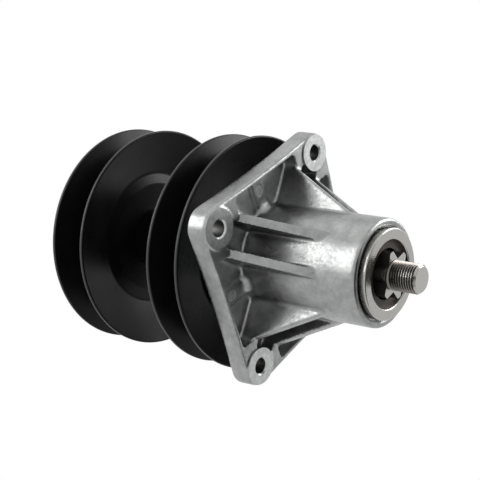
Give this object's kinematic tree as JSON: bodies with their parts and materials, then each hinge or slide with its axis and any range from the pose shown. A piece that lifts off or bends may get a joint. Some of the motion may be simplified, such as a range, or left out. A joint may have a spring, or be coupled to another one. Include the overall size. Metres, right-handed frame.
{
  "type": "mower deck spindle",
  "caption": "Mower deck spindle: cast aluminium housing with a square ribbed flange, a shaft on ball bearings with a star and threaded blade end, and stacked black belt pulleys.",
  "frame": {"origin": "on the shaft's axis, in the plane of the four machined boss faces that seat on the deck, at the middle of the screw pattern", "axes": "+Z along the shaft towards the pulleys, which is up when fitted; the blade end points down -Z; X and Y run along the sides of the square flange"},
  "size_m": [0.1365, 0.1364, 0.2349],
  "materials": {
    "cast_aluminium": "as cast, semi-gloss, machined bores and boss faces",
    "turned_steel": "bright turned",
    "ground_steel": "ground",
    "ball_steel": "polished",
    "cage_steel": "pressed sheet",
    "plated_steel": "zinc plated",
    "seal_rubber": "matt brown-black",
    "black_paint": "satin black"
  },
  "bodies": {
    "housing": {"spindle_housing": "cast_aluminium", "lower_bearing_outer_race": "ground_steel", "nose_ring_seal": "seal_rubber", "lower_bearing_inner_seal": "seal_rubber", "upper_bearing_outer_race": "ground_steel", "upper_bearing_lower_seal": "seal_rubber", "upper_bearing_upper_seal": "seal_rubber"},
    "rotor": {"spindle_shaft": "turned_steel", "lower_bearing_inner_race": "ground_steel", "upper_bearing_inner_race": "ground_steel", "bearing_spacer_tube": "turned_steel", "hub_spacer": "black_paint", "lower_pulley_lower_half": "black_paint", "lower_pulley_upper_half": "black_paint", "pulley_spacer": "black_paint", "upper_pulley_lower_half": "black_paint", "upper_pulley_upper_half": "black_paint", "top_collar": "black_paint", "lock_washer": "plated_steel", "top_nut": "plated_steel"},
    "lower_ball_set": {"lower_bearing_cage": "cage_steel", "lower_bearing_balls": "ball_steel"},
    "upper_ball_set": {"upper_bearing_cage": "cage_steel", "upper_bearing_balls": "ball_steel"}
  },
  "joints": [
    {"name": "shaft_spin", "type": "hinge", "parent": "housing", "child": "rotor", "pos_m": [0, 0, 0], "axis": [0, 0, 1], "continuous": true},
    {"name": "lower_ball_set_spin", "type": "hinge", "parent": "housing", "child": "lower_ball_set", "pos_m": [0, 0, -0.0538], "axis": [0, 0, 1], "continuous": true},
    {"name": "upper_ball_set_spin", "type": "hinge", "parent": "housing", "child": "upper_ball_set", "pos_m": [0, 0, 0.0062], "axis": [0, 0, 1], "continuous": true}
  ],
  "couplings": [
    {"joint": "lower_ball_set_spin", "follows": "shaft_spin", "ratio": 0.3815},
    {"joint": "upper_ball_set_spin", "follows": "shaft_spin", "ratio": 0.3815}
  ]
}
